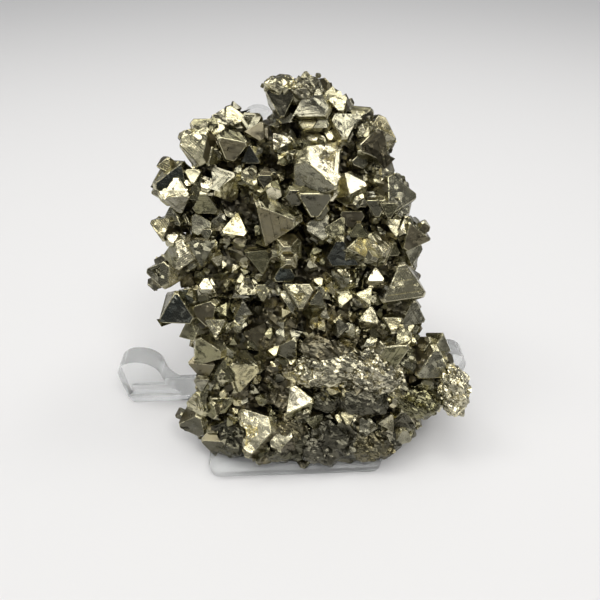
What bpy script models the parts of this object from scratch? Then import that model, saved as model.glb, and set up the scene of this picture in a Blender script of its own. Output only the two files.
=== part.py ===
"""Pyrite specimen leaning on a clear display stand.

World frame: origin under the middle of the stand, +X right, +Y to the back, +Z up.
Lengths are in millimetres while the shapes are made, and go to metres at the end.

The specimen has a frame of its own: u runs across it, v runs up along its front, and w comes
out of its front. The frame leans back on the stand. The front crystals end near w = 0.
"""
import math
import random

import bmesh
import bpy
from mathutils import Matrix, Vector, noise

MM = 0.001
SEED = 11

# ---- stand -------------------------------------------------------------------------------
BASE_THICKNESS = 2.0
FRONT_EDGE = -22.0
REAR_EDGE = 28.0
TONGUE_HALF_WIDTH = 17.3
REAR_HALF_WIDTH = 12.0
TONGUE_CORNER = 2.2

EAR_OUTER = 37.5
EAR_INNER = 28.5
EAR_TOP = 13.3
EAR_FRONT = -3.3
EAR_THICKNESS = 4.2
EAR_FLARE = 7.0
CROSSBAR_HALF_DEPTH = 2.8
CROSSBAR_CORNER = 1.6
CROSSBAR_FILLET = 3.0

REST_FOOT_Y = 17.5
REST_LEAN = 6.6
REST_THICKNESS = 2.8
REST_LENGTH = 54.2
REST_FRONT_Y = REST_FOOT_Y - REST_THICKNESS / 2
REST_GAP = 0.35
REST_HALF_WIDTH = 9.4
FORK_SLOT = 3.9
FORK_DEPTH = 22.0
RIB_THICKNESS = 3.0
RIB_HEIGHT = 21.0
RIB_INSET = 1.0
REST_SHOULDER = 12.0
ARC_STEPS = 6

# ---- specimen: where it leans --------------------------------------------------------------
SPECIMEN_LEAN = 28.0
SPECIMEN_TURN = -2.0
SPECIMEN_FOOT = (0.8, -23.3, 4.2)
CONTACT_GAP = 0.3
BREAK_HEIGHT = BASE_THICKNESS + CONTACT_GAP

# ---- specimen: massive pyrite --------------------------------------------------------------
# Lumps that the crystals grow from: u, v, w, then half width, half height, half depth.
LUMPS = (
    (-13.0, 4.0, -10.0, 7.5, 7.0, 8.5),
    (-3.0, 3.0, -9.5, 9.0, 6.5, 9.5),
    (7.0, 3.0, -9.5, 9.0, 6.5, 9.5),
    (15.5, 3.0, -9.5, 6.0, 5.5, 8.5),
    (-13.0, 14.0, -12.0, 8.0, 8.0, 8.5),
    (-2.0, 14.0, -12.0, 8.5, 8.5, 9.5),
    (9.0, 14.5, -11.5, 9.0, 8.5, 9.5),
    (19.0, 13.5, -11.0, 7.5, 6.5, 7.5),
    (26.5, 14.5, -9.0, 4.5, 5.0, 5.5),
    (-14.0, 26.0, -12.5, 8.0, 8.5, 8.5),
    (-4.0, 26.0, -13.0, 8.5, 8.5, 9.0),
    (6.5, 26.0, -12.5, 9.0, 8.5, 9.5),
    (15.5, 25.0, -11.5, 7.5, 8.5, 8.5),
    (-16.0, 37.5, -12.0, 7.5, 8.0, 7.0),
    (-6.0, 37.0, -12.5, 8.5, 8.5, 8.0),
    (5.0, 37.0, -12.5, 8.5, 8.5, 8.0),
    (14.0, 37.0, -12.0, 7.5, 8.5, 7.5),
    (-15.0, 48.0, -12.0, 7.0, 7.5, 6.5),
    (-5.0, 48.0, -12.5, 8.0, 8.0, 8.0),
    (5.0, 48.0, -12.5, 8.0, 8.0, 8.0),
    (13.5, 47.5, -11.5, 6.0, 7.5, 6.5),
    (-12.5, 57.0, -11.0, 6.5, 6.0, 5.5),
    (-3.0, 57.0, -11.5, 7.0, 6.5, 6.5),
    (6.5, 57.0, -11.0, 6.5, 6.5, 6.0),
    (1.5, 64.5, -9.5, 5.5, 4.5, 5.0),
)
# Rough lumps that show between the crystals, low on the right and at the top.
BARE_LUMPS = (
    (29.2, 14.5, -5.5, 3.1, 4.9, 4.2),
    (5.5, 19.5, -4.6, 6.5, 4.6, 3.4),
    (13.5, 18.5, -4.4, 5.2, 4.4, 3.2),
    (12.0, 13.0, -4.6, 5.2, 3.4, 3.4),
    (4.6, 13.0, -4.2, 3.0, 2.4, 2.6),
    (4.5, 23.3, -4.8, 5.0, 2.6, 3.2),
    (22.5, 12.5, -5.0, 4.6, 3.4, 3.8),
    (0.8, 67.0, -5.8, 2.9, 2.4, 2.9),
    (-3.0, 68.0, -6.4, 2.6, 1.6, 2.6),
    (3.0, 2.6, -4.8, 5.0, 2.8, 3.6),
    (13.5, 3.0, -5.0, 5.4, 3.2, 3.6),
    (-2.5, 6.5, -4.6, 3.8, 3.4, 3.2),
)
FACET_FREQUENCY = 0.62
FACET_HEIGHT = 0.9
SWELL_FREQUENCY = 0.2
SWELL_HEIGHT = 0.9

# ---- specimen: crystals --------------------------------------------------------------------
# One row for each crystal that shows: u, v, w of the middle of its front face, the length of
# its edges, how far that face looks to the right and up, and the way one corner of the face
# points, clockwise from straight up.
CRYSTALS = (
    # top
    (-2.9, 65.6, -4.5, 5.4, -4, -12, 180),
    (1.0, 68.2, -4.4, 4.4, 10, 35, 0),
    (1.7, 64.7, -3.4, 6.4, -5, 8, 0),
    (5.0, 66.5, -6.0, 4.4, 20, 30, 20),
    (6.0, 65.4, -5.0, 3.6, 10, 20, 50),
    (7.0, 62.3, -4.2, 5.0, 10, 15, 180),
    (10.7, 62.3, -6.0, 4.8, 25, -10, 30),
    (13.8, 61.9, -6.0, 5.6, 35, 30, 140),
    (12.4, 58.8, -4.4, 6.6, 20, 5, 20),
    (14.7, 55.7, -6.0, 5.2, 38, 0, 0),
    # upper left
    (-15.7, 61.6, -5.0, 5.8, -5, 25, 60),
    (-17.0, 59.2, -3.2, 6.0, -15, 15, 160),
    (-12.6, 63.4, -6.0, 4.8, 0, 40, 20),
    (-10.9, 63.6, -6.2, 4.2, 15, 20, 100),
    (-13.4, 61.6, -5.0, 3.6, -10, 20, 0),
    (-8.2, 62.8, -6.4, 4.2, 10, 20, 180),
    (-7.2, 61.0, -5.6, 3.6, 10, 10, 30),
    (-11.0, 58.4, -3.4, 5.2, 10, -22, 190),
    (-15.0, 57.0, -4.8, 5.0, -5, -35, 180),
    (-21.0, 53.0, -4.0, 7.0, 5, -7, 145),
    (-20.3, 51.8, -2.0, 4.6, 0, 28, -3),
    (-17.0, 51.4, -4.0, 5.6, 20, 0, 10),
    (-13.0, 54.0, -3.6, 5.6, 0, 30, 200),
    (-8.4, 57.0, -5.0, 3.6, -10, -10, 0),
    (-8.3, 54.2, -4.2, 4.2, 10, 25, 30),
    (-16.0, 49.4, -4.2, 4.8, 0, -15, 120),
    # centre top
    (4.3, 56.6, -2.2, 9.2, 24, 34, 170),
    (1.5, 60.4, -4.4, 5.6, 0, 55, 0),
    (-3.3, 59.6, -3.6, 4.8, -10, 45, 200),
    (8.6, 53.0, -2.6, 4.8, 20, 40, 215),
    (9.4, 50.0, -3.6, 4.2, 0, -20, 0),
    (2.3, 49.9, -1.4, 6.2, 5, -22, 180),
    (-4.6, 46.5, -1.6, 8.8, -5, -22, 203),
    (-2.4, 43.9, -2.6, 5.0, 0, 58, 180),
    # right
    (16.3, 51.0, -3.0, 7.5, 25, 15, 95),
    (12.4, 49.0, -2.6, 3.6, -25, -15, 180),
    (3.0, 46.0, -4.2, 5.2, -10, 15, 30),
    (6.5, 45.2, -4.0, 4.8, 10, 10, 150),
    (8.8, 46.8, -4.6, 4.6, 0, -8, 180),
    (10.2, 42.4, -2.6, 5.0, 30, 25, 150),
    (7.1, 41.0, -3.0, 6.4, -5, -8, -2),
    (8.0, 38.4, -3.6, 5.2, 0, 50, 170),
    (13.0, 42.3, -4.0, 4.8, -10, -20, 215),
    (13.9, 43.4, -3.0, 5.2, 38, 50, 215),
    (16.0, 42.0, -4.6, 4.0, 20, 5, 0),
    (16.0, 46.0, -4.6, 4.2, 10, 30, 60),
    (18.6, 45.6, -4.2, 4.2, 10, 20, 0),
    (19.8, 43.8, -4.0, 5.4, 10, -12, 95),
    (20.0, 40.7, -6.0, 4.6, 25, 0, 60),
    (18.2, 35.1, -3.2, 8.0, 8, 8, -6),
    (21.2, 29.2, -6.0, 6.6, 25, 5, 0),
    (18.5, 26.2, -3.6, 4.2, 10, 25, 100),
    (12.6, 30.0, -3.6, 4.2, 15, 30, 135),
    (11.6, 33.7, -3.2, 3.8, 10, 25, 40),
    (7.8, 33.8, -4.2, 4.2, 0, 30, 80),
    # left
    (-23.7, 45.6, -3.6, 4.4, -10, 12, 172),
    (-22.3, 47.3, -5.0, 4.2, -25, 10, 120),
    (-19.7, 41.2, -3.2, 6.0, 26, 12, 92),
    (-16.8, 42.0, -3.0, 5.4, 0, 5, 180),
    (-17.5, 46.0, -5.0, 4.6, 0, 15, 90),
    (-14.2, 46.0, -5.4, 4.0, 5, 10, 20),
    (-11.3, 45.7, -4.0, 5.2, 10, 25, 130),
    (-7.2, 40.2, -3.2, 5.0, 0, -5, 175),
    (-2.9, 37.6, -4.0, 4.4, 10, -5, 0),
    (-25.2, 37.4, -5.0, 6.2, -18, 10, -85),
    (-9.5, 35.2, -4.0, 4.2, 0, 25, 0),
    (-6.8, 34.2, -4.6, 3.6, 10, 10, 60),
    (-22.4, 30.6, -3.6, 7.0, 0, 0, 2),
    (-17.5, 30.2, -4.4, 5.6, -5, 10, 162),
    (-15.3, 28.3, -3.0, 4.2, -5, 10, 178),
    (-10.2, 31.0, -3.6, 3.6, 20, 10, 0),
    (-0.2, 34.6, -2.6, 5.8, 0, 14, 180),
    (3.0, 33.0, -3.6, 3.6, 15, 10, 10),
    # lower left
    (-17.3, 22.6, -3.6, 6.6, -5, -12, -20),
    (-21.0, 26.2, -5.6, 5.2, -30, 5, 0),
    (-18.7, 18.8, -4.6, 5.6, -10, -15, 180),
    (-10.4, 18.3, -3.0, 6.8, 22, -5, -45),
    (-14.4, 18.7, -3.6, 5.2, -25, 10, 0),
    (-20.2, 12.0, -4.0, 6.2, -30, 5, 10),
    (-15.2, 11.6, -4.2, 5.2, 5, -10, 60),
    (-21.2, 6.8, -4.6, 6.0, -8, -12, -92),
    (-17.0, 2.8, -3.6, 5.2, -5, -15, 60),
    (-15.0, 6.6, -4.2, 4.8, 0, 0, 150),
    (-12.6, 3.0, -4.0, 4.8, 10, -10, 20),
    (-9.1, 7.3, -2.6, 9.5, -28, 22, -57),
    (-0.8, 14.4, -1.8, 6.5, -15, 35, -30),
    # lower right
    (17.0, 22.4, -2.6, 6.6, 0, -5, 178),
    (25.0, 19.9, -4.0, 7.6, 10, 0, 3),
    (19.0, 15.2, -3.2, 5.2, 5, 35, 20),
    (20.0, 8.2, -4.2, 5.6, -5, -15, 120),
    (25.4, 9.4, -5.2, 5.6, 20, -25, 60),
    (8.3, 7.4, -3.6, 4.2, 0, -10, 0),
    (12.5, 7.3, -3.2, 4.6, 0, 10, 90),
    (16.8, 8.4, -3.2, 4.2, 10, 15, 30),
    (20.4, 4.2, -4.2, 4.2, 20, 0, 0),
    (2.4, 3.4, -3.2, 5.0, 0, -15, 180),
    (-2.6, 22.6, -5.0, 5.4, -10, -10, 150),
    (-8.0, 25.5, -5.0, 5.0, 10, 10, 40),
)

# Smaller crystals all round: how far apart they stand and how long their edges are.
SIDE_SPACING = 6.0
SIDE_EDGE = (3.6, 5.6)
BACK_SPACING = 9.0
BACK_EDGE = (3.4, 5.4)
BACK_LOOK = -0.55
FRONT_LOOK = 0.6
KEPT_APART = 0.8
WANDER = 0.5
LIFT_SHARE = 0.28
REACH_SHARE = 0.45
SKIN_TRIES = 160

EDGE_TO_RADIUS = 1.0 / math.sqrt(2.0)
FACE_TO_CENTRE = 1.0 / math.sqrt(6.0)


def clear_scene():
    for thing in list(bpy.data.objects):
        bpy.data.objects.remove(thing, do_unlink=True)


def make_material(name, colour, roughness, metallic, transmission=0.0, ior=1.5):
    material = bpy.data.materials.new(name)
    material.use_nodes = True
    shader = material.node_tree.nodes["Principled BSDF"]
    shader.inputs["Base Color"].default_value = (*colour, 1.0)
    shader.inputs["Roughness"].default_value = roughness
    shader.inputs["Metallic"].default_value = metallic
    shader.inputs["Transmission Weight"].default_value = transmission
    shader.inputs["IOR"].default_value = ior
    return material


def object_from(bm, name):
    """Turn a bmesh into an object of the scene."""
    mesh = bpy.data.meshes.new(name)
    bm.to_mesh(mesh)
    bm.free()
    thing = bpy.data.objects.new(name, mesh)
    bpy.context.scene.collection.objects.link(thing)
    return thing


def remove_object(thing):
    mesh = thing.data
    bpy.data.objects.remove(thing, do_unlink=True)
    bpy.data.meshes.remove(mesh)


def united(first, others, name):
    """Union of solids that overlap, as one new object."""
    group = bpy.data.collections.new(name + "_union")
    for other in others:
        group.objects.link(other)
    union = first.modifiers.new("union", "BOOLEAN")
    union.operation = "UNION"
    union.solver = "EXACT"
    union.operand_type = "COLLECTION"
    union.collection = group
    depsgraph = bpy.context.evaluated_depsgraph_get()
    mesh = bpy.data.meshes.new_from_object(first.evaluated_get(depsgraph))
    bpy.data.collections.remove(group)
    for used in [first, *others]:
        remove_object(used)
    whole = bpy.data.objects.new(name, mesh)
    bpy.context.scene.collection.objects.link(whole)
    return whole


# ---- stand -------------------------------------------------------------------------------
def arc(centre, radius, start, end, steps=ARC_STEPS):
    """Points on a circle, from one angle in degrees to another."""
    points = []
    for step in range(steps + 1):
        angle = math.radians(start + (end - start) * step / steps)
        points.append((centre[0] + radius * math.cos(angle), centre[1] + radius * math.sin(angle)))
    return points


def plate(name, outline, thickness, to_world):
    """Extrude a flat outline, centred on its own plane, and put it in its place."""
    bm = bmesh.new()
    corners = [bm.verts.new((x, y, -thickness / 2)) for x, y in outline]
    face = bm.faces.new(corners)
    swept = bmesh.ops.extrude_face_region(bm, geom=[face])
    moved = [item for item in swept["geom"] if isinstance(item, bmesh.types.BMVert)]
    bmesh.ops.translate(bm, verts=moved, vec=(0, 0, thickness))
    bmesh.ops.recalc_face_normals(bm, faces=bm.faces)
    bmesh.ops.transform(bm, matrix=to_world, verts=bm.verts)
    return object_from(bm, name)


def base_outline():
    """A cross: tongue to the front, arms to both sides, tongue to the rear."""
    front = FRONT_EDGE + TONGUE_CORNER
    rear = REAR_EDGE - TONGUE_CORNER
    side = EAR_OUTER - CROSSBAR_CORNER
    arm_middle = EAR_FRONT + EAR_THICKNESS / 2
    arm_front = arm_middle - CROSSBAR_HALF_DEPTH
    arm_rear = arm_middle + CROSSBAR_HALF_DEPTH
    inner = CROSSBAR_FILLET
    half = []
    half += arc((TONGUE_HALF_WIDTH - TONGUE_CORNER, front), TONGUE_CORNER, -90, 0)
    half += arc((TONGUE_HALF_WIDTH + inner, arm_front - inner), inner, 180, 90)
    half += arc((side, arm_front + CROSSBAR_CORNER), CROSSBAR_CORNER, -90, 0)
    half += arc((side, arm_rear - CROSSBAR_CORNER), CROSSBAR_CORNER, 0, 90)
    half += arc((REAR_HALF_WIDTH + inner, arm_rear + inner), inner, -90, -180)
    half += arc((REAR_HALF_WIDTH - TONGUE_CORNER, rear), TONGUE_CORNER, 0, 90)
    return half + [(-x, y) for x, y in reversed(half)]


def ear_outline():
    """Upright ear seen from the front: round top, inner side flaring into the base."""
    radius = (EAR_OUTER - EAR_INNER) / 2
    middle = (EAR_OUTER + EAR_INNER) / 2
    foot = BASE_THICKNESS / 2
    flare_top = foot + EAR_FLARE
    points = [(EAR_OUTER, foot)]
    points += arc((middle, EAR_TOP - radius), radius, 0, 180, 2 * ARC_STEPS)
    points += arc((EAR_INNER - EAR_FLARE, flare_top), EAR_FLARE, 0, -90)
    return points


def rest_outline():
    """Back rest seen from the front, along its own slope: two round prongs over a plate."""
    prong = (REST_HALF_WIDTH - FORK_SLOT / 2) / 2
    prong_middle = REST_HALF_WIDTH - prong
    slot_foot = REST_LENGTH - FORK_DEPTH
    half = [(REAR_HALF_WIDTH - TONGUE_CORNER, 0.0)]
    half += [(REST_HALF_WIDTH, REST_SHOULDER)]
    half += arc((prong_middle, REST_LENGTH - prong), prong, 0, 180, 2 * ARC_STEPS)
    half += arc((0.0, slot_foot), FORK_SLOT / 2, 0, -90, ARC_STEPS // 2)
    return half + [(-x, y) for x, y in reversed(half[:-1])]


def build_stand():
    stand_up = Matrix.Rotation(math.radians(90), 4, "X")
    base = plate("base", base_outline(), BASE_THICKNESS, Matrix.Translation((0, 0, BASE_THICKNESS / 2)))
    ear_place = Matrix.Translation((0, EAR_FRONT + EAR_THICKNESS / 2, 0)) @ stand_up
    right_ear = plate("right_ear", ear_outline(), EAR_THICKNESS, ear_place)
    mirrored = [(-x, y) for x, y in reversed(ear_outline())]
    left_ear = plate("left_ear", mirrored, EAR_THICKNESS, ear_place)
    slope = Matrix.Rotation(math.radians(90 - REST_LEAN), 4, "X")
    rest_place = Matrix.Translation((0.0, REST_FOOT_Y, BASE_THICKNESS / 2)) @ slope
    rest = plate("rest", rest_outline(), REST_THICKNESS, rest_place)
    lean_shift = RIB_HEIGHT * math.tan(math.radians(REST_LEAN))
    rib_outline = [
        (REST_FOOT_Y, BASE_THICKNESS / 2),
        (REAR_EDGE - RIB_INSET, BASE_THICKNESS / 2),
        (REAR_EDGE - RIB_INSET, BASE_THICKNESS + RIB_INSET),
        (REST_FOOT_Y + lean_shift + RIB_INSET, RIB_HEIGHT),
        (REST_FOOT_Y + lean_shift, RIB_HEIGHT),
    ]
    across = Matrix.Rotation(math.radians(90), 4, "Z") @ stand_up
    rib = plate("rib", rib_outline, RIB_THICKNESS, across)
    stand = united(base, [right_ear, left_ear, rest, rib], "display_stand")
    stand.data.materials.clear()
    stand.data.materials.append(make_material("clear_plastic", (0.93, 0.95, 0.96), 0.06, 0.0, 1.0, 1.57))
    stand.data.transform(Matrix.Scale(MM, 4))
    return stand


# ---- specimen ----------------------------------------------------------------------------
def specimen_to_world():
    """Matrix from the specimen's u, v, w to the world, both in millimetres."""
    lean = math.radians(SPECIMEN_LEAN)
    across = Vector((1, 0, 0))
    up = Vector((0, math.sin(lean), math.cos(lean)))
    out = Vector((0, -math.cos(lean), math.sin(lean)))
    axes = Matrix((across, up, out)).transposed().to_4x4()
    turn = Matrix.Rotation(math.radians(SPECIMEN_TURN), 4, "Z")
    return Matrix.Translation(SPECIMEN_FOOT) @ turn @ axes


def octahedron_on_face():
    """Turn that lays an octahedron so that a face looks along +Z with a corner towards +Y."""
    out = Vector((1, 1, 1)).normalized()
    corner = Vector((-1, -1, 2)).normalized()
    side = corner.cross(out)
    return Matrix((side, corner, out)).to_4x4()


def aimed(turn, tip, clock):
    """Turn that aims a front face: to the right, up, then clockwise about its own middle."""
    to_right = Matrix.Rotation(math.radians(turn), 4, "Y")
    to_up = Matrix.Rotation(math.radians(-tip), 4, "X")
    spin = Matrix.Rotation(math.radians(-clock), 4, "Z")
    return to_right @ to_up @ spin


def crystal(name, place, edge, turning):
    """One octahedron. Its front face has its middle at the place given."""
    sink = Matrix.Translation((0, 0, -edge * FACE_TO_CENTRE))
    matrix = Matrix.Translation(place) @ turning @ sink @ octahedron_on_face()
    bm = bmesh.new()
    bmesh.ops.create_uvsphere(bm, u_segments=4, v_segments=2, radius=edge * EDGE_TO_RADIUS, matrix=matrix)
    return object_from(bm, name)


def lump(name, row):
    """A rough rounded lump of massive pyrite."""
    u, v, w, half_width, half_height, half_depth = row
    grow = Matrix.Translation((u, v, w)) @ Matrix.Diagonal((half_width, half_height, half_depth, 1.0))
    size = (half_width + half_height + half_depth) / 3.0
    bm = bmesh.new()
    bmesh.ops.create_icosphere(bm, subdivisions=2, radius=1.0)
    for vert in bm.verts:
        home = grow @ vert.co
        facet = 0.5 - noise.voronoi(home * FACET_FREQUENCY)[0][0]
        swell = noise.fractal(home * SWELL_FREQUENCY, 1.0, 2.0, 3)
        vert.co *= 1.0 + (facet * FACET_HEIGHT + swell * SWELL_HEIGHT) / size
    bmesh.ops.transform(bm, matrix=grow, verts=bm.verts)
    return object_from(bm, name)


def depth_inside(point, row):
    """Below 1 inside a lump, above 1 outside it."""
    u, v, w, half_width, half_height, half_depth = row
    return math.sqrt(
        ((point.x - u) / half_width) ** 2
        + ((point.y - v) / half_height) ** 2
        + ((point.z - w) / half_depth) ** 2
    )


def skin_points(chance):
    """Places on the outside of the joined lumps, with the direction that each one looks."""
    found = []
    golden = math.pi * (3.0 - math.sqrt(5.0))
    for row in LUMPS:
        u, v, w, half_width, half_height, half_depth = row
        for step in range(SKIN_TRIES):
            height = 1.0 - 2.0 * (step + chance.random()) / SKIN_TRIES
            ring = math.sqrt(1.0 - height * height)
            angle = golden * step
            look = Vector((ring * math.cos(angle), ring * math.sin(angle), height))
            point = Vector((u + look.x * half_width, v + look.y * half_height, w + look.z * half_depth))
            if any(other != row and depth_inside(point, other) < 1.0 for other in LUMPS):
                continue
            outward = Vector((look.x / half_width, look.y / half_height, look.z / half_depth)).normalized()
            found.append((point, outward))
    chance.shuffle(found)
    return found


def clear_of_rest(place, reach, to_world):
    """True where a crystal at a place stays in front of the back rest."""
    world = to_world @ place
    if abs(world.x) > REST_HALF_WIDTH + reach:
        return True
    rest_front = REST_FRONT_Y + world.z * math.tan(math.radians(REST_LEAN))
    return world.y + reach < rest_front - REST_GAP


def side_crystals(chance, to_world):
    """Crystals round the sides, the top and the back, kept apart from each other."""
    kept = []
    crystals = []
    taken = [Vector(row[0:3]) for row in CRYSTALS]
    for point, outward in skin_points(chance):
        if outward.z > FRONT_LOOK:
            continue
        behind = outward.z < BACK_LOOK
        spacing = BACK_SPACING if behind else SIDE_SPACING
        if any((point - other).length < spacing for other in kept):
            continue
        if any((point - other).length < SIDE_SPACING * KEPT_APART for other in taken):
            continue
        edge = chance.uniform(*(BACK_EDGE if behind else SIDE_EDGE))
        wander = Vector([chance.uniform(-WANDER, WANDER) for _ in range(3)])
        aim = (outward + wander).normalized().to_track_quat("Z", "Y").to_matrix().to_4x4()
        spin = Matrix.Rotation(chance.uniform(0, 2 * math.pi), 4, "Z")
        place = point + outward * edge * LIFT_SHARE
        if not clear_of_rest(place, edge * REACH_SHARE, to_world):
            continue
        kept.append(point)
        crystals.append(crystal("side_%d" % len(crystals), place, edge, aim @ spin))
    return crystals


def largest_shell(bm):
    """Delete every closed shell but the one with the most faces."""
    left = set(bm.faces)
    shells = []
    while left:
        shell = []
        waiting = [left.pop()]
        while waiting:
            face = waiting.pop()
            shell.append(face)
            for edge in face.edges:
                for other in edge.link_faces:
                    if other in left:
                        left.remove(other)
                        waiting.append(other)
        shells.append(shell)
    shells.sort(key=len)
    extra = [face for shell in shells[:-1] for face in shell]
    bmesh.ops.delete(bm, geom=extra, context="FACES")


def build_cluster():
    chance = random.Random(SEED)
    to_world = specimen_to_world()
    lumps = [lump("lump_%d" % i, row) for i, row in enumerate(LUMPS + BARE_LUMPS)]
    fronts = []
    for i, (u, v, w, edge, turn, tip, clock) in enumerate(CRYSTALS):
        fronts.append(crystal("front_%d" % i, (u, v, w), edge, aimed(turn, tip, clock)))
    sides = side_crystals(chance, to_world)
    cluster = united(lumps[0], lumps[1:] + fronts + sides, "pyrite_cluster")
    bm = bmesh.new()
    bm.from_mesh(cluster.data)
    bmesh.ops.transform(bm, matrix=to_world, verts=bm.verts)
    everything = bm.verts[:] + bm.edges[:] + bm.faces[:]
    cut = bmesh.ops.bisect_plane(
        bm, geom=everything, plane_co=(0, 0, BREAK_HEIGHT), plane_no=(0, 0, -1), clear_outer=True
    )
    rim = [item for item in cut["geom_cut"] if isinstance(item, bmesh.types.BMEdge)]
    bmesh.ops.triangle_fill(bm, edges=rim, use_beauty=True, normal=(0, 0, -1))
    largest_shell(bm)
    bmesh.ops.triangulate(bm, faces=bm.faces)
    bmesh.ops.transform(bm, matrix=Matrix.Scale(MM, 4), verts=bm.verts)
    bm.to_mesh(cluster.data)
    bm.free()
    cluster.data.materials.clear()
    cluster.data.materials.append(make_material("pyrite", (0.50, 0.47, 0.36), 0.3, 1.0))
    return cluster


def main():
    clear_scene()
    build_stand()
    build_cluster()


main()
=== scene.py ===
import math
import random

import bmesh
import bpy
from mathutils import Matrix, Vector, noise


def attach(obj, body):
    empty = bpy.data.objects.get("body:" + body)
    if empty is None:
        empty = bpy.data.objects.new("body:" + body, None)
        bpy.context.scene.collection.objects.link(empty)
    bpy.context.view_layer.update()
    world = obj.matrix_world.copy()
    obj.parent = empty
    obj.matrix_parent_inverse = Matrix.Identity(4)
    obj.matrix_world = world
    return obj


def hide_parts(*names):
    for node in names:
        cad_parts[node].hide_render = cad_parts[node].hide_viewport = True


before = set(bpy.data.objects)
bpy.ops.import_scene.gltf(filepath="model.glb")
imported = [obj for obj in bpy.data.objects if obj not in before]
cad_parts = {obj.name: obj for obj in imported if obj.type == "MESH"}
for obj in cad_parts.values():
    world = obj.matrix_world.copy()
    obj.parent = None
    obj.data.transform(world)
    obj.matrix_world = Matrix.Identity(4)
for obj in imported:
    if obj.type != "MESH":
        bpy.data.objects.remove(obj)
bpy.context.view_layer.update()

# The looks of a pyrite specimen that leans on a clear display stand.
#
# World frame: origin under the middle of the stand, +X right, +Y to the back, +Z up. The
# specimen has a frame of its own, in millimetres: u runs across it, v runs up along its
# front, and w comes out of its front.

MM = 0.001
SEED = 11

# ---- where the specimen leans, as in the CAD ------------------------------------------------
SPECIMEN_LEAN = 28.0
SPECIMEN_TURN = -2.0
SPECIMEN_FOOT = (0.8, -23.3, 4.2)
BREAK_HEIGHT = 2.3
REST_FRONT_Y = 16.1
REST_LEAN = 6.6
REST_HALF_WIDTH = 9.4
REST_GAP = 0.35

# ---- tones of the crystal faces: base colour and roughness -----------------------------------
# Painted light: in the CRYSTALS table a front face's tone follows how the face lies. It is bright or gold
# where the face catches the overhead light, and dark where the face mirrors the dark room. So those tones
# are partly painted highlight or shade and partly the face's own tarnish. The teal tone is only a painted
# dark reflection.
TONES = {
    "bright": ((0.83, 0.775, 0.55), 0.13),
    "gold": ((0.76, 0.69, 0.42), 0.15),
    "pale": ((0.60, 0.56, 0.37), 0.17),
    "grey": ((0.36, 0.345, 0.25), 0.17),
    "olive": ((0.27, 0.255, 0.15), 0.16),
    "brown": ((0.19, 0.168, 0.105), 0.22),
    "dark": ((0.11, 0.105, 0.075), 0.18),
    "teal": ((0.085, 0.095, 0.085), 0.12),
}

# Tones that chance picks from, for small crystals and for the side faces of large ones.
SMALL_TONES = ("grey", "grey", "olive", "olive", "pale", "brown", "dark", "bright", "gold")
SIDE_TONES = ("grey", "pale", "olive", "olive", "brown")
TARNISH_WARM = (0.28, 0.24, 0.15, 1.0)
TARNISH_COOL = (0.17, 0.17, 0.15, 1.0)
PIT_COLOUR = (0.10, 0.097, 0.07, 1.0)
# Colour of the recesses: partly tarnish, partly painted shade.
RECESS_TARNISH_AND_SHADE = (0.15, 0.14, 0.115, 1.0)

# ---- massive pyrite -------------------------------------------------------------------------
# Lumps that the crystals grow from: u, v, w, then half width, half height, half depth.
LUMPS = (
    (-13.0, 4.0, -10.0, 7.5, 7.0, 8.5),
    (-3.0, 3.0, -9.5, 9.0, 6.5, 9.5),
    (7.0, 3.0, -9.5, 9.0, 6.5, 9.5),
    (15.5, 3.0, -9.5, 6.0, 5.5, 8.5),
    (-13.0, 14.0, -12.0, 8.0, 8.0, 8.5),
    (-2.0, 14.0, -12.0, 8.5, 8.5, 9.5),
    (9.0, 14.5, -11.5, 9.0, 8.5, 9.5),
    (19.0, 13.5, -11.0, 7.5, 6.5, 7.5),
    (26.5, 14.5, -9.0, 4.5, 5.0, 5.5),
    (-14.0, 26.0, -12.5, 8.0, 8.5, 8.5),
    (-4.0, 26.0, -13.0, 8.5, 8.5, 9.0),
    (6.5, 26.0, -12.5, 9.0, 8.5, 9.5),
    (15.5, 25.0, -11.5, 7.5, 8.5, 8.5),
    (-16.0, 37.5, -12.0, 7.5, 8.0, 7.0),
    (-6.0, 37.0, -12.5, 8.5, 8.5, 8.0),
    (5.0, 37.0, -12.5, 8.5, 8.5, 8.0),
    (14.0, 37.0, -12.0, 7.5, 8.5, 7.5),
    (-15.0, 48.0, -12.0, 7.0, 7.5, 6.5),
    (-5.0, 48.0, -12.5, 8.0, 8.0, 8.0),
    (5.0, 48.0, -12.5, 8.0, 8.0, 8.0),
    (13.5, 47.5, -11.5, 6.0, 7.5, 6.5),
    (-12.5, 57.0, -11.0, 6.5, 6.0, 5.5),
    (-3.0, 57.0, -11.5, 7.0, 6.5, 6.5),
    (6.5, 57.0, -11.0, 6.5, 6.5, 6.0),
    (1.5, 64.5, -9.5, 5.5, 4.5, 5.0),
)
# Rough lumps that show between the crystals: the same six sizes, then a tone and how deep the
# grain of the surface is.
BARE_LUMPS = (
    (29.2, 14.5, -5.5, 3.1, 4.9, 4.2, "bright", 0.6),
    (5.5, 19.5, -4.6, 6.5, 4.6, 3.4, "bright", 0.5),
    (13.5, 18.5, -4.4, 5.2, 4.4, 3.2, "bright", 0.5),
    (12.0, 13.0, -4.6, 5.2, 3.4, 3.4, "dark", 0.25),
    (4.6, 13.0, -4.2, 3.0, 2.4, 2.6, "dark", 0.3),
    (4.5, 23.3, -4.8, 5.0, 2.6, 3.2, "brown", 0.35),
    (22.5, 12.5, -5.0, 4.6, 3.4, 3.8, "olive", 0.45),
    (0.8, 67.0, -5.8, 2.9, 2.4, 2.9, "pale", 0.35),
    (-3.0, 68.0, -6.4, 2.6, 1.6, 2.6, "bright", 0.3),
    (3.0, 2.6, -4.8, 5.0, 2.8, 3.6, "dark", 0.35),
    (13.5, 3.0, -5.0, 5.4, 3.2, 3.6, "brown", 0.4),
    (-2.5, 6.5, -4.6, 3.8, 3.4, 3.2, "brown", 0.4),
)
LUMP_SINK = 1.3
CARRYING_GRAIN = 0.6
CARRYING_DETAIL = 4
BARE_DETAIL = 5
BARE_DRUSE = 0.04
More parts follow.
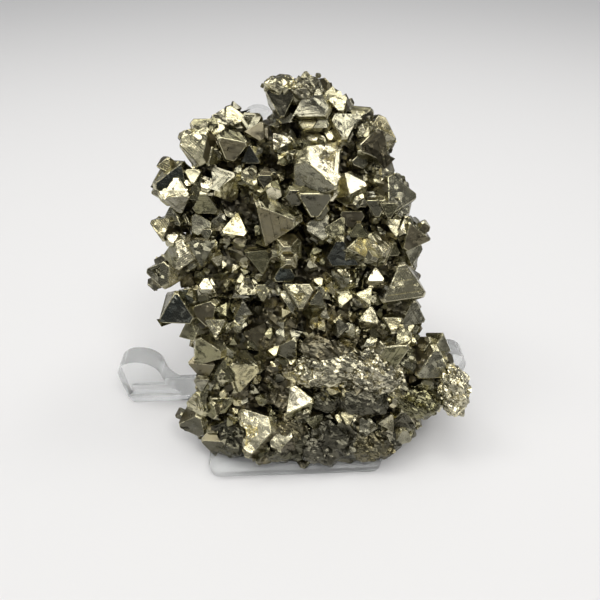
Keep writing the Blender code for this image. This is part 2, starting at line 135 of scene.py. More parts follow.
# The skin of a lump is broken facets, ridged hackle that is drawn out one way, and a slow swell.
WARP_FREQUENCY = 0.5
WARP_HEIGHT = 0.9
FACET_FREQUENCY = 0.62
FACET_HEIGHT = 1.1
HACKLE_FREQUENCY = 0.6
HACKLE_HEIGHT = 0.95
HACKLE_STRETCH = 0.3
HACKLE_ALONG = Vector((0.77, -0.64, 0.0))
HACKLE_ACROSS = Vector((0.64, 0.77, 0.0))
SWELL_FREQUENCY = 0.2
SWELL_HEIGHT = 0.9
DARK_PITS = 0.4
# Height w at which the painted shade and tarnish of the recesses between the crystals begin and
# are at their darkest, and the height below which the back of the specimen begins, which gets a
# fixed share of that darkening.
RECESS_TOP = -5.0
RECESS_BOTTOM = -10.0
BACK_TOP = -13.0
BACK_DARKNESS = 0.3

# ---- crystals that show ---------------------------------------------------------------------
# u, v, w of the middle of the front face, the length of the edges, how far that face looks to
# the right and up, the way one corner of the face points, clockwise from straight up, then the
# tone of the face, partly its own tarnish and partly painted highlight or shade, and its habit.
CRYSTALS = (
    # top
    (-2.9, 65.6, -4.5, 5.4, -4, -12, 180, "dark", "smooth"),
    (1.0, 68.2, -4.4, 4.4, 10, 35, 0, "pale", "rough"),
    (1.7, 64.7, -3.4, 6.4, -5, 8, 0, "grey", "terraced"),
    (5.0, 66.5, -6.0, 4.4, 20, 30, 20, "pale", "smooth"),
    (6.0, 65.4, -5.0, 3.6, 10, 20, 50, "pale", "striated"),
    (7.7, 65.4, -7.0, 3.2, 30, 10, 0, "grey", "smooth"),
    (7.0, 62.3, -4.2, 5.0, 10, 15, 180, "grey", "terraced"),
    (10.7, 62.3, -6.0, 4.8, 25, -10, 30, "dark", "smooth"),
    (13.8, 61.9, -6.0, 5.6, 35, 30, 140, "gold", "terraced"),
    (11.5, 61.2, -4.6, 3.2, 10, 10, 0, "pale", "smooth"),
    (12.4, 58.8, -4.4, 6.6, 20, 5, 20, "brown", "terraced"),
    (14.7, 55.7, -6.0, 5.2, 38, 0, 0, "grey", "smooth"),
    # upper left
    (-15.7, 61.6, -5.0, 5.8, -5, 25, 60, "olive", "terraced"),
    (-17.0, 59.2, -3.2, 6.0, -15, 15, 160, "pale", "smooth"),
    (-12.6, 63.4, -6.0, 4.8, 0, 40, 20, "bright", "rough"),
    (-10.9, 63.6, -6.2, 4.2, 15, 20, 100, "gold", "terraced"),
    (-13.4, 61.6, -5.0, 3.6, -10, 20, 0, "pale", "smooth"),
    (-8.2, 62.8, -6.4, 4.2, 10, 20, 180, "grey", "hollow"),
    (-7.2, 61.0, -5.6, 3.6, 10, 10, 30, "brown", "smooth"),
    (-11.0, 58.4, -3.4, 5.2, 10, -22, 190, "brown", "striated"),
    (-15.0, 57.0, -4.8, 5.0, -5, -35, 180, "dark", "smooth"),
    (-21.0, 53.0, -4.0, 7.0, 5, -7, 145, "teal", "smooth"),
    (-20.3, 51.8, -2.0, 4.6, 0, 28, -3, "bright", "terraced"),
    (-17.8, 54.2, -3.6, 3.2, 0, 20, 60, "pale", "smooth"),
    (-17.0, 51.4, -4.0, 5.6, 20, 0, 10, "olive", "smooth"),
    (-13.0, 54.0, -3.6, 5.6, 0, 30, 200, "grey", "terraced"),
    (-8.4, 57.0, -5.0, 3.6, -10, -10, 0, "teal", "smooth"),
    (-8.3, 54.2, -4.2, 4.2, 10, 25, 30, "pale", "rough"),
    (-5.8, 53.2, -3.6, 3.2, 0, -20, 180, "dark", "smooth"),
    (-16.0, 49.4, -4.2, 4.8, 0, -15, 120, "olive", "smooth"),
    # centre top
    (4.3, 56.6, -2.2, 9.2, 24, 34, 170, "bright", "hollow"),
    (1.5, 60.4, -4.4, 5.6, 0, 55, 0, "bright", "rough"),
    (-3.3, 59.6, -3.6, 4.8, -10, 45, 200, "bright", "rough"),
    (8.6, 53.0, -2.6, 4.8, 20, 40, 215, "bright", "smooth"),
    (9.4, 50.0, -3.6, 4.2, 0, -20, 0, "dark", "smooth"),
    (2.3, 49.9, -1.4, 6.2, 5, -22, 180, "dark", "smooth"),
    (-4.6, 46.5, -1.6, 8.8, -5, -22, 203, "brown", "striated"),
    (-2.4, 43.9, -2.6, 5.0, 0, 58, 180, "bright", "smooth"),
    # right
    (16.3, 51.0, -3.0, 7.5, 25, 15, 95, "grey", "striated"),
    (14.5, 49.0, -1.6, 3.4, 0, -5, 180, "olive", "smooth"),
    (12.4, 49.0, -2.6, 3.6, -25, -15, 180, "dark", "smooth"),
    (3.0, 46.0, -4.2, 5.2, -10, 15, 30, "grey", "striated"),
    (6.5, 45.2, -4.0, 4.8, 10, 10, 150, "olive", "smooth"),
    (8.8, 46.8, -4.6, 4.6, 0, -8, 180, "brown", "smooth"),
    (10.2, 42.4, -2.6, 5.0, 30, 25, 150, "gold", "striated"),
    (9.9, 45.0, -3.6, 3.2, -10, 5, 0, "olive", "smooth"),
    (7.1, 41.0, -3.0, 6.4, -5, -8, -2, "teal", "smooth"),
    (8.0, 38.4, -3.6, 5.2, 0, 50, 170, "bright", "rough"),
    (13.0, 42.3, -4.0, 4.8, -10, -20, 215, "dark", "smooth"),
    (13.9, 43.4, -3.0, 5.2, 38, 50, 215, "bright", "smooth"),
    (16.0, 42.0, -4.6, 4.0, 20, 5, 0, "olive", "smooth"),
    (16.0, 46.0, -4.6, 4.2, 10, 30, 60, "pale", "striated"),
    (18.6, 45.6, -4.2, 4.2, 10, 20, 0, "bright", "smooth"),
    (19.8, 43.8, -4.0, 5.4, 10, -12, 95, "brown", "smooth"),
    (20.0, 40.7, -6.0, 4.6, 25, 0, 60, "grey", "smooth"),
    (18.2, 35.1, -3.2, 8.0, 8, 8, -6, "pale", "striated"),
    (21.2, 29.2, -6.0, 6.6, 25, 5, 0, "grey", "striated"),
    (16.3, 29.0, -2.2, 3.4, 0, 15, 180, "gold", "smooth"),
    (18.5, 26.2, -3.6, 4.2, 10, 25, 100, "pale", "smooth"),
    (12.6, 30.0, -3.6, 4.2, 15, 30, 135, "pale", "striated"),
    (11.6, 33.7, -3.2, 3.8, 10, 25, 40, "pale", "striated"),
    (7.8, 33.8, -4.2, 4.2, 0, 30, 80, "pale", "smooth"),
    (13.0, 37.2, -3.6, 3.4, 0, 30, 0, "bright", "smooth"),
    # left
    (-23.7, 45.6, -3.6, 4.4, -10, 12, 172, "gold", "smooth"),
    (-22.3, 47.3, -5.0, 4.2, -25, 10, 120, "grey", "smooth"),
    (-22.0, 43.9, -3.6, 2.4, 10, 30, 60, "bright", "smooth"),
    (-19.7, 41.2, -3.2, 6.0, 26, 12, 92, "bright", "striated"),
    (-16.8, 42.0, -3.0, 5.4, 0, 5, 180, "grey", "rough"),
    (-17.5, 46.0, -5.0, 4.6, 0, 15, 90, "grey", "striated"),
    (-14.2, 46.0, -5.4, 4.0, 5, 10, 20, "grey", "rough"),
    (-11.3, 45.7, -4.0, 5.2, 10, 25, 130, "gold", "striated"),
    (-7.2, 40.2, -3.2, 5.0, 0, -5, 175, "olive", "smooth"),
    (-2.9, 37.6, -4.0, 4.4, 10, -5, 0, "teal", "smooth"),
    (-25.2, 37.4, -5.0, 6.2, -18, 10, -85, "grey", "hollow"),
    (-16.5, 35.9, -2.8, 2.8, 0, 35, 0, "bright", "smooth"),
    (-9.5, 35.2, -4.0, 4.2, 0, 25, 0, "pale", "rough"),
    (-6.8, 34.2, -4.6, 3.6, 10, 10, 60, "pale", "smooth"),
    (-22.4, 30.6, -3.6, 7.0, 0, 0, 2, "teal", "smooth"),
    (-17.5, 30.2, -4.4, 5.6, -5, 10, 162, "brown", "striated"),
    (-15.3, 28.3, -3.0, 4.2, -5, 10, 178, "pale", "striated"),
    (-10.2, 31.0, -3.6, 3.6, 20, 10, 0, "grey", "smooth"),
    (-0.2, 34.6, -2.6, 5.8, 0, 14, 180, "pale", "hollow"),
    (3.0, 33.0, -3.6, 3.6, 15, 10, 10, "grey", "smooth"),
    # lower left
    (-17.3, 22.6, -3.6, 6.6, -5, -12, -20, "olive", "smooth"),
    (-21.0, 26.2, -5.6, 5.2, -30, 5, 0, "olive", "smooth"),
    (-18.7, 18.8, -4.6, 5.6, -10, -15, 180, "brown", "smooth"),
    (-18.7, 16.2, -4.0, 3.2, 0, 0, 180, "grey", "smooth"),
    (-10.4, 18.3, -3.0, 6.8, 22, -5, -45, "gold", "smooth"),
    (-14.4, 18.7, -3.6, 5.2, -25, 10, 0, "olive", "smooth"),
    (-20.2, 12.0, -4.0, 6.2, -30, 5, 10, "pale", "terraced"),
    (-15.2, 11.6, -4.2, 5.2, 5, -10, 60, "olive", "terraced"),
    (-21.2, 6.8, -4.6, 6.0, -8, -12, -92, "dark", "smooth"),
    (-17.0, 2.8, -3.6, 5.2, -5, -15, 60, "dark", "smooth"),
    (-15.0, 6.6, -4.2, 4.8, 0, 0, 150, "dark", "terraced"),
    (-12.6, 3.0, -4.0, 4.8, 10, -10, 20, "brown", "smooth"),
    (-9.1, 7.3, -2.6, 9.5, -24, 33, -57, "bright", "hollow"),
    (-0.8, 14.4, -1.8, 6.5, -15, 35, -30, "bright", "striated"),
    # lower right
    (17.0, 22.4, -2.6, 6.6, 0, -5, 178, "olive", "striated"),
    (25.0, 19.9, -4.0, 7.6, 10, 0, 3, "grey", "smooth"),
    (19.0, 15.2, -3.2, 5.2, 5, 35, 20, "bright", "rough"),
    (20.0, 8.2, -4.2, 5.6, -5, -15, 120, "dark", "terraced"),
    (25.4, 9.4, -5.2, 5.6, 20, -25, 60, "dark", "smooth"),
    (9.0, 10.0, -2.8, 3.4, 0, 25, 60, "gold", "smooth"),
    (8.3, 7.4, -3.6, 4.2, 0, -10, 0, "dark", "smooth"),
    (12.5, 7.3, -3.2, 4.6, 0, 10, 90, "grey", "rough"),
    (16.8, 8.4, -3.2, 4.2, 10, 15, 30, "pale", "striated"),
    (20.4, 4.2, -4.2, 4.2, 20, 0, 0, "grey", "smooth"),
    (2.4, 3.4, -3.2, 5.0, 0, -15, 180, "dark", "terraced"),
    (-2.6, 22.6, -5.0, 5.4, -10, -10, 150, "dark", "smooth"),
    (-8.0, 25.5, -5.0, 5.0, 10, 10, 40, "brown", "smooth"),
)

# ---- how a crystal grows --------------------------------------------------------------------
EDGE_TO_RADIUS = 1.0 / math.sqrt(2.0)
FACE_TO_CENTRE = 1.0 / math.sqrt(6.0)
FACE_LOOKS = [Vector((x, y, z)).normalized() for x in (1, -1) for y in (1, -1) for z in (1, -1)]
AHEAD = FACE_LOOKS[0]
# How far the other faces stand in or out, as a share of their distance from the middle, and how
# far out the corners are cut, as a share of the way to a sharp one.
UNEVEN = 0.13
BLUNT = (0.76, 0.96)
SMALL_UNEVEN = 0.3
SMALL_BLUNT = (0.72, 0.95)
SHARP = (1.1, 1.1)
# How near a corner has to be to a cutting plane to lie on it, and the line along which parts of
# a mesh are put in order.
CUT_REACH = 0.0001
SORT_LINE = Vector((1.0, 0.618, 0.273))
# Shares of the length of the crystal's edges.
WORN_EDGE = (0.012, 0.03)
TERRACE_TREAD = 0.07
TERRACE_RISE = 0.016
BAR_WIDTH = 0.09
BAR_RISE = 0.009
PIT_RIM = 0.17
PIT_DEPTH = 0.03
PLAIN_TREAD = 0.05
PLAIN_SINK = 0.006
SIDE_TREAD = 0.09
SIDE_SINK = 0.01
LEAST_SIDE = 0.06
ROUGH_CELL = 0.2
ROUGH_RISE = 0.10
TERRACE_STEPS = 4
PIT_CUTS = 7
ROUGH_CUTS = (2, 4)
ROUGH_DRUSE = 0.25
# How pitted a face is, and how far chance makes its tone lighter or darker.
EDGE_PITS = 0.2
SIDE_PITS = (-0.3, 0.7)
FRONT_PITS = 0.08
EDGE_SPREAD = 0.1
SIDE_SPREAD = 0.22
FRONT_SPREAD = 0.08
SMALL_SPREAD = 0.25
# Smaller crystals that grow parallel to a large one, as shares of the length of its edges.
COMPANION_COUNTS = (2, 3, 3, 4)
COMPANION_REACH = (0.3, 0.52)
COMPANION_SUNK = (0.14, 0.36)
COMPANION_EDGE = (0.35, 0.62)
COMPANION_HABITS = ("smooth", "smooth", "rough")
SAME_TONE = 0.4

# ---- smaller crystals all round ---------------------------------------------------------------
SIDE_SPACING = 6.0
SIDE_EDGE = (3.6, 5.6)
SIDE_TRIES = 160
SIDE_HABITS = ("smooth", "terraced", "rough", "striated")
BACK_SPACING = 9.0
BACK_EDGE = (3.4, 5.4)
BACK_LOOK = -0.55
FRONT_LOOK = 0.6
KEPT_APART = 0.8
WANDER = 0.5
LIFT_SHARE = 0.28
REACH_SHARE = 0.45
SMALL_SPACING = 1.7
SMALL_EDGE = (1.4, 4.4)
SMALL_COMMON = 2.2
SMALL_TRIES = 1100
SMALL_WANDER = 0.8
SMALL_LIFT_SHARE = 0.12
SMALL_LIFT = (-0.2, 1.0)
SMALL_WIDTH = (0.45, 1.0)
SMALL_HEIGHT = (0.7, 1.2)
SMALL_FOOT = 8.5
FORM_COUNT = 16
GRAIN_EDGE = (0.4, 1.5)
GRAIN_WANDER = 1.2
GRAIN_LIFT_SHARE = 0.15
GRAIN_WIDTH = (0.5, 1.1)
GRAIN_HEIGHT = (0.4, 1.0)
GRAIN_COARSE = 0.22
DRUSE_DENSITY = 0.8
BURIED_DEPTH = 0.86
BURIED_SHARE = 0.9

# ---- camera, floor and light ------------------------------------------------------------------
CAMERA_PLACE = (-0.000595, -0.06002, 0.085)
CAMERA_TURN = (46.0, 0.0, -2.0)
PICTURE_SIDE = 600
FOCAL_PIXELS = 433
SENSOR = 36.0
VIEW = "Standard"
LOOK = "None"
FLOOR_SIDE = 3.0
FLOOR_DROP = 0.0002
# How bright the room is from straight below, at 0, to straight above, at 1.
ROOM_STOPS = ((0.0, 0.3), (0.50, 0.14), (0.74, 0.13), (0.84, 0.32), (0.92, 0.78), (1.0, 1.1))
# Soft lamps that look at the middle of the specimen: name, place, size and power.
LAMPS = (
    ("overhead", (-0.05, -0.02, 0.5), (0.5, 0.35), 0.94),
    ("right_window", (0.16, -0.14, 0.42), (0.11, 0.11), 0.31),
    ("left_window", (-0.24, 0.06, 0.38), (0.09, 0.16), 0.31),
    ("back_window", (0.23, 0.13, 0.36), (0.12, 0.12), 0.24),
)
LAMP_COLOUR = (1.0, 0.98, 0.94)
LAMP_TARGET = Vector((0, 0, 0.03))


# ---- shader nodes -----------------------------------------------------------------------------
class Value:
    """A socket of a node tree that sums can be written with."""

    def __init__(self, nodes, socket):
        self.nodes = nodes
        self.socket = socket

    def sum_of(self, operation, first, second):
        return self.nodes.add("ShaderNodeMath", {"operation": operation}, {0: first, 1: second})

    def __add__(self, other):
        return self.sum_of("ADD", self, other)

    def __radd__(self, other):
        return self.sum_of("ADD", other, self)

    def __sub__(self, other):
        return self.sum_of("SUBTRACT", self, other)

    def __rsub__(self, other):
        return self.sum_of("SUBTRACT", other, self)

    def __mul__(self, other):
        return self.sum_of("MULTIPLY", self, other)

    def __rmul__(self, other):
        return self.sum_of("MULTIPLY", other, self)


class Nodes:
    """The node tree of a material or of the world."""

    def __init__(self, owner):
        owner.use_nodes = True
        self.tree = owner.node_tree

    def add(self, kind, settings, inputs, output=0):
        """Make one node: its settings first, then the values or links of its sockets."""
        node = self.tree.nodes.new(kind)
        for name, value in settings.items():
            if name == "stops":
                self.set_stops(node.color_ramp, value)
            else:
                setattr(node, name, value)
        for name, value in inputs.items():
            self.feed(node.inputs[name], value)
        return Value(self, node.outputs[output])

    def feed(self, socket, value):
        """Link a value to a socket, or set the socket to a plain one."""
        if isinstance(value, Value):
            self.tree.links.new(value.socket, socket)
        else:
            socket.default_value = value

    def set_stops(self, ramp, stops):
        """Give a ramp its stops, each a position and a colour."""
        while len(ramp.elements) < len(stops):
            ramp.elements.new(0.5)
        for element, (position, colour) in zip(ramp.elements, stops):
            element.position = position
            element.color = colour

    def noise(self, place, scale, detail=3.0, rough=0.6):
        """A cloudy pattern with a number of layers of detail."""
        settings = {"noise_dimensions": "3D"}
        inputs = {"Vector": place, "Scale": scale, "Detail": detail, "Roughness": rough}
        return self.add("ShaderNodeTexNoise", settings, inputs)

    def ramp(self, factor, stops):
        return self.add("ShaderNodeValToRGB", {"stops": stops}, {"Fac": factor})

    def mixed(self, factor, first, second):
        settings = {"data_type": "RGBA", "blend_type": "MIX"}
        return self.add("ShaderNodeMix", settings, {0: factor, 6: first, 7: second}, 2)

    def facets(self, place, scale, share):
        """Normals of small flat chips, each one turned by chance, as far as the share says."""
        inputs = {"Vector": place, "Scale": scale, "Randomness": 1.0}
        cells = self.add("ShaderNodeTexVoronoi", {"feature": "F1"}, inputs, "Color")
        lean = self.add("ShaderNodeVectorMath", {"operation": "SUBTRACT"}, {0: cells, 1: (0.5, 0.5, 0.5)})
        turned = self.add("ShaderNodeVectorMath", {"operation": "SCALE"}, {0: lean, "Scale": share})
        normal = self.add("ShaderNodeNewGeometry", {}, {}, "Normal")
        chipped = self.add("ShaderNodeVectorMath", {"operation": "ADD"}, {0: normal, 1: turned})
        return self.add("ShaderNodeVectorMath", {"operation": "NORMALIZE"}, {0: chipped})

    def bump(self, height, strength, distance, normal=None):
        """The normal of a surface that rises and falls, on the normal of what lies under it."""
        inputs = {"Strength": strength, "Distance": distance, "Height": height}
        if normal is not None:
            inputs["Normal"] = normal
        return self.add("ShaderNodeBump", {}, inputs)


def grey(value):
    """A colour without hue."""
    return (value, value, value, 1.0)


# ---- materials --------------------------------------------------------------------------------
def pyrite_material():
    """Pyrite: metal of many tones, some of them painted highlight or shade, darkened in its recesses
    partly by tarnish and partly by painted shade, with fine growth lines.
    """
    material = bpy.data.materials.new("pyrite")
    nodes = Nodes(material)
    shader = nodes.tree.nodes["Principled BSDF"]
    place = nodes.add("ShaderNodeTexCoord", {}, {}, "Object")
    tone = nodes.add("ShaderNodeAttribute", {"attribute_name": "tone"}, {}, "Color")
    coarse = nodes.add("ShaderNodeAttribute", {"attribute_name": "coarse"}, {}, "Fac")
    growth = nodes.add("ShaderNodeAttribute", {"attribute_name": "growth"}, {}, "Vector")
    depth = nodes.add("ShaderNodeAttribute", {"attribute_name": "depth"}, {}, "Fac")
    pitted = nodes.add("ShaderNodeAttribute", {"attribute_name": "pitted"}, {}, "Fac")

    cloudy = nodes.noise(place, scale=260.0, detail=4.0, rough=0.65)
    fine = nodes.noise(place, scale=1500.0)
    stain = nodes.ramp(cloudy, ((0.42, grey(0.0)), (0.66, grey(1.0))))
    tarnish = nodes.mixed(cloudy, TARNISH_WARM, TARNISH_COOL)
    tarnished = nodes.mixed(stain * 0.35, tone, tarnish)
    dapple = nodes.ramp(nodes.noise(place, scale=520.0), ((0.44, grey(0.0)), (0.56, grey(1.0))))
    dappled = nodes.mixed(dapple * pitted * 0.5, tarnished, PIT_COLOUR)
    # Painted shade: the depth share darkens the recesses between the crystals, and the back, towards the
    # recess colour. This is partly tarnish and partly stands in for the shade that falls there.
    crevice_tarnish_and_shade = nodes.mixed(depth * 0.8, dappled, RECESS_TARNISH_AND_SHADE)
    nodes.feed(shader.inputs["Base Color"], crevice_tarnish_and_shade)
    shader.inputs["Metallic"].default_value = 1.0
    nodes.feed(shader.inputs["Roughness"], coarse + stain * 0.10 + fine * 0.06 + depth * 0.15)

    lines = nodes.add(
        "ShaderNodeTexWave",
        {"wave_type": "BANDS", "bands_direction": "X", "wave_profile": "SAW"},
        {"Vector": growth, "Scale": 1.1, "Distortion": 2.0, "Detail": 3.0, "Detail Scale": 1.5},
    )
    broken = nodes.noise(place, scale=420.0, detail=4.0, rough=0.7)
    patches = nodes.ramp(broken, ((0.50, grey(0.0)), (0.60, grey(1.0))))
    share = pitted * 0.9 + patches * 0.7 + 0.09
    drawn = nodes.add(
        "ShaderNodeMapping",
        {"vector_type": "TEXTURE"},
        {"Vector": place, "Rotation": (0.0, 0.0, math.radians(-40.0)), "Scale": (2.6, 1.0, 1.0)},
    )
    chips = nodes.facets(drawn, scale=1500.0, share=share)
    slow = nodes.noise(place, scale=210.0, detail=2.0, rough=0.5)
    swell = nodes.bump(slow, strength=1.0, distance=0.00055, normal=chips)
    grain = nodes.noise(place, scale=1100.0, detail=5.0, rough=0.7)
    creases = nodes.bump(grain + lines * 0.08, strength=1.0, distance=0.0001, normal=swell)
    nodes.feed(shader.inputs["Normal"], creases)
    return material


def clear_plastic_material():
    """Moulded clear plastic, a little uneven and scuffed."""
    material = bpy.data.materials.new("moulded_clear_plastic")
    nodes = Nodes(material)
    shader = nodes.tree.nodes["Principled BSDF"]
    place = nodes.add("ShaderNodeTexCoord", {}, {}, "Object")
    scuffs = nodes.noise(place, scale=900.0, detail=5.0, rough=0.7)
    waves = nodes.noise(place, scale=90.0, detail=2.0)
    shader.inputs["Base Color"].default_value = (0.96, 0.97, 0.97, 1.0)
    shader.inputs["Transmission Weight"].default_value = 0.88
    shader.inputs["IOR"].default_value = 1.3
    nodes.feed(shader.inputs["Roughness"], scuffs * 0.16 + 0.02)
    nodes.feed(shader.inputs["Normal"], nodes.bump(waves + scuffs * 0.1, strength=0.3, distance=0.0006))
    return material


def floor_material():
    """A plain pale floor."""
    material = bpy.data.materials.new("pale_floor")
    nodes = Nodes(material)
    shader = nodes.tree.nodes["Principled BSDF"]
    shader.inputs["Base Color"].default_value = (0.78, 0.78, 0.79, 1.0)
    shader.inputs["Roughness"].default_value = 0.8
    return material


# ---- crystals -----------------------------------------------------------------------------------
def specimen_to_world():
    """Matrix from the specimen's u, v, w to the world, both in millimetres."""
    lean = math.radians(SPECIMEN_LEAN)
    across = Vector((1, 0, 0))
    up = Vector((0, math.sin(lean), math.cos(lean)))
    out = Vector((0, -math.cos(lean), math.sin(lean)))
    axes = Matrix((across, up, out)).transposed().to_4x4()
    turn = Matrix.Rotation(math.radians(SPECIMEN_TURN), 4, "Z")
    return Matrix.Translation(SPECIMEN_FOOT) @ turn @ axes


def octahedron_on_face():
    """Turn that lays an octahedron so that a face looks along +Z with a corner towards +Y."""
    out = Vector((1, 1, 1)).normalized()
    corner = Vector((-1, -1, 2)).normalized()
    side = corner.cross(out)
    return Matrix((side, corner, out)).to_4x4()


def aimed(turn, tip, clock):
    """Turn that aims a front face: to the right, up, then clockwise about its own middle."""
    to_right = Matrix.Rotation(math.radians(turn), 4, "Y")
    to_up = Matrix.Rotation(math.radians(-tip), 4, "X")
    spin = Matrix.Rotation(math.radians(-clock), 4, "Z")
    return to_right @ to_up @ spin


def new_shell():
    """A bmesh with the layers that the pyrite material and the druse read."""
    bm = bmesh.new()
    bm.faces.layers.float_color.new("tone")
    bm.faces.layers.float.new("coarse")
    bm.faces.layers.float.new("druse")
    bm.faces.layers.float.new("pitted")
    bm.loops.layers.float_vector.new("growth")
    return bm


def paint_faces(bm, faces, tone, chance, spread=0.16, druse=0.0, pitted=0.0):
    """Give faces a tone, a little lighter or darker by chance, and shares of druse and pits."""
    colour, coarse = TONES[tone]
    tones = bm.faces.layers.float_color["tone"]
    coarses = bm.faces.layers.float["coarse"]
    druses = bm.faces.layers.float["druse"]
    pits = bm.faces.layers.float["pitted"]
    shade = 1.0 + chance.uniform(-spread, spread)
    warmth = chance.uniform(-0.5, 0.5) * spread
    for face in faces:
        red, green, blue = colour
        face[tones] = (red * shade, green * shade, blue * shade * (1.0 - warmth), 1.0)
        face[coarses] = coarse
        face[druses] = druse
        face[pits] = pitted


def mesh_from(bm, name):
    """A mesh made of a bmesh, which ends here."""
    mesh = bpy.data.meshes.new(name)
    bm.to_mesh(mesh)
    bm.free()
    return mesh


def object_from(bm, name):
    """An object in the scene, made of a bmesh."""
    thing = bpy.data.objects.new(name, mesh_from(bm, name))
    bpy.context.scene.collection.objects.link(thing)
    return thing


def placed(bm, matrix):
    """Keep each corner's place in the crystal as its growth, then move the crystal home."""
    growths = bm.loops.layers.float_vector["growth"]
    for face in bm.faces:
        for loop in face.loops:
            loop[growths] = loop.vert.co
    bmesh.ops.transform(bm, matrix=matrix, verts=bm.verts)
    return mesh_from(bm, "shell")


def in_order(faces):
    """Faces in the order of their places, which is the same in each run."""
    return sorted(faces, key=lambda face: face.calc_center_median().dot(SORT_LINE))


def in_plane(face, chance, reach):
    """A short step by chance along a face."""
    across = face.normal.orthogonal().normalized()
    other = face.normal.cross(across)
    return (across * chance.uniform(-1, 1) + other * chance.uniform(-1, 1)) * reach


def terrace(bm, face, chance, steps, tread, riser):
    """Growth steps: smaller copies of the face, one on the other or one in the other."""
    for _ in range(steps):
        if face.calc_area() < (4.0 * tread) ** 2 * 0.4:
            return
        width = tread * chance.uniform(0.6, 1.5)
        bmesh.ops.inset_individual(bm, faces=[face], thickness=width, depth=0.0)
        bmesh.ops.translate(bm, verts=face.verts, vec=in_plane(face, chance, width * 0.55))
        bmesh.ops.inset_individual(bm, faces=[face], thickness=abs(riser) * 0.5, depth=riser)


def pit(bm, face, chance, rim, depth, cuts, roughness):
    """A sunk rough floor inside the straight rim of a face."""
    bmesh.ops.inset_individual(bm, faces=[face], thickness=rim, depth=0.0)
    bmesh.ops.translate(bm, verts=face.verts, vec=in_plane(face, chance, rim * 0.7))
    bmesh.ops.inset_individual(bm, faces=[face], thickness=depth * 0.7, depth=-depth)
    normal = face.normal.copy()
    rim_edges = list(face.edges)
    poked = bmesh.ops.poke(bm, faces=[face])
    edges = []
    for part in poked["faces"]:
        edges += [edge for edge in part.edges if edge not in edges]
    made = bmesh.ops.subdivide_edges(bm, edges=edges, cuts=cuts, use_grid_fill=True)
    on_rim = {vert for edge in rim_edges if edge.is_valid for vert in edge.verts}
    floor = [item for item in made["geom_inner"] if isinstance(item, bmesh.types.BMVert)]
    for vert in sorted(floor, key=lambda vert: vert.co.dot(SORT_LINE)):
        if vert not in on_rim:
            vert.co += normal * chance.uniform(-roughness, roughness)


def striate(bm, face, chance, along, width, riser):
    """Long bars that run along one edge of a face, each a little higher or lower."""
    lines = [(edge.verts[1].co - edge.verts[0].co).normalized() for edge in face.edges]
    line = max(lines, key=lambda way: abs(way.dot(along)))
    across = face.normal.cross(line if line.dot(along) > 0.0 else -line)
    bmesh.ops.inset_individual(bm, faces=[face], thickness=width * 0.4, depth=0.0)
    spans = [vert.co.dot(across) for vert in face.verts]
    cut = min(spans) + width * chance.uniform(0.6, 1.2)
    pieces = [face]
    while cut < max(spans) - width * 0.5:
        geom = list(pieces)
        for piece in pieces:
            geom += [item for item in (*piece.edges, *piece.verts) if item not in geom]
        made = bmesh.ops.bisect_plane(
            bm, geom=geom, plane_co=across * cut, plane_no=across, dist=CUT_REACH
        )
        pieces = [item for item in made["geom"] if isinstance(item, bmesh.types.BMFace)]
        cut += width * chance.uniform(0.6, 1.6)
    for number, piece in enumerate(in_order(pieces)):
        height = riser * chance.uniform(0.4, 1.0) * (1 if number % 2 else -1)
        bmesh.ops.inset_individual(bm, faces=[piece], thickness=abs(height) * 0.4, depth=height)


def roughen(bm, cuts, edge, seed_place):
    """A broken surface over the whole crystal."""
    bmesh.ops.triangulate(bm, faces=bm.faces[:])
    bmesh.ops.subdivide_edges(bm, edges=bm.edges[:], cuts=cuts, use_grid_fill=True)
    for vert in bm.verts:
        where = vert.co / (edge * ROUGH_CELL) + seed_place
        nearest = noise.voronoi(where)[0]
        rise = (nearest[1] - nearest[0]) * 0.9 - 0.35 + noise.fractal(where * 0.5, 1.0, 2.0, 3) * 0.4
        vert.co *= 1.0 + rise * ROUGH_RISE


def cut_form(bm, edge, uneven, blunt, chance):
    """An octahedron of uneven growth with blunt corners, cut out of a block."""
    reach = edge * EDGE_TO_RADIUS
    bmesh.ops.create_cube(bm, size=2.0)
    block = [reach * chance.uniform(*blunt) for _ in range(3)]
    bmesh.ops.transform(bm, matrix=Matrix.Diagonal((*block, 1.0)), verts=bm.verts)
    for look in FACE_LOOKS:
        far = edge * FACE_TO_CENTRE
        if look != AHEAD:
            far *= 1.0 + chance.uniform(-uneven, uneven)
        geom = bm.verts[:] + bm.edges[:] + bm.faces[:]
        cut = bmesh.ops.bisect_plane(
            bm, geom=geom, dist=CUT_REACH, plane_co=look * far, plane_no=look, clear_outer=True
        )
        rim = [item for item in cut["geom_cut"] if isinstance(item, bmesh.types.BMEdge)]
        if rim:
            bmesh.ops.contextual_create(bm, geom=rim)
    bmesh.ops.recalc_face_normals(bm, faces=bm.faces)
    bm.normal_update()


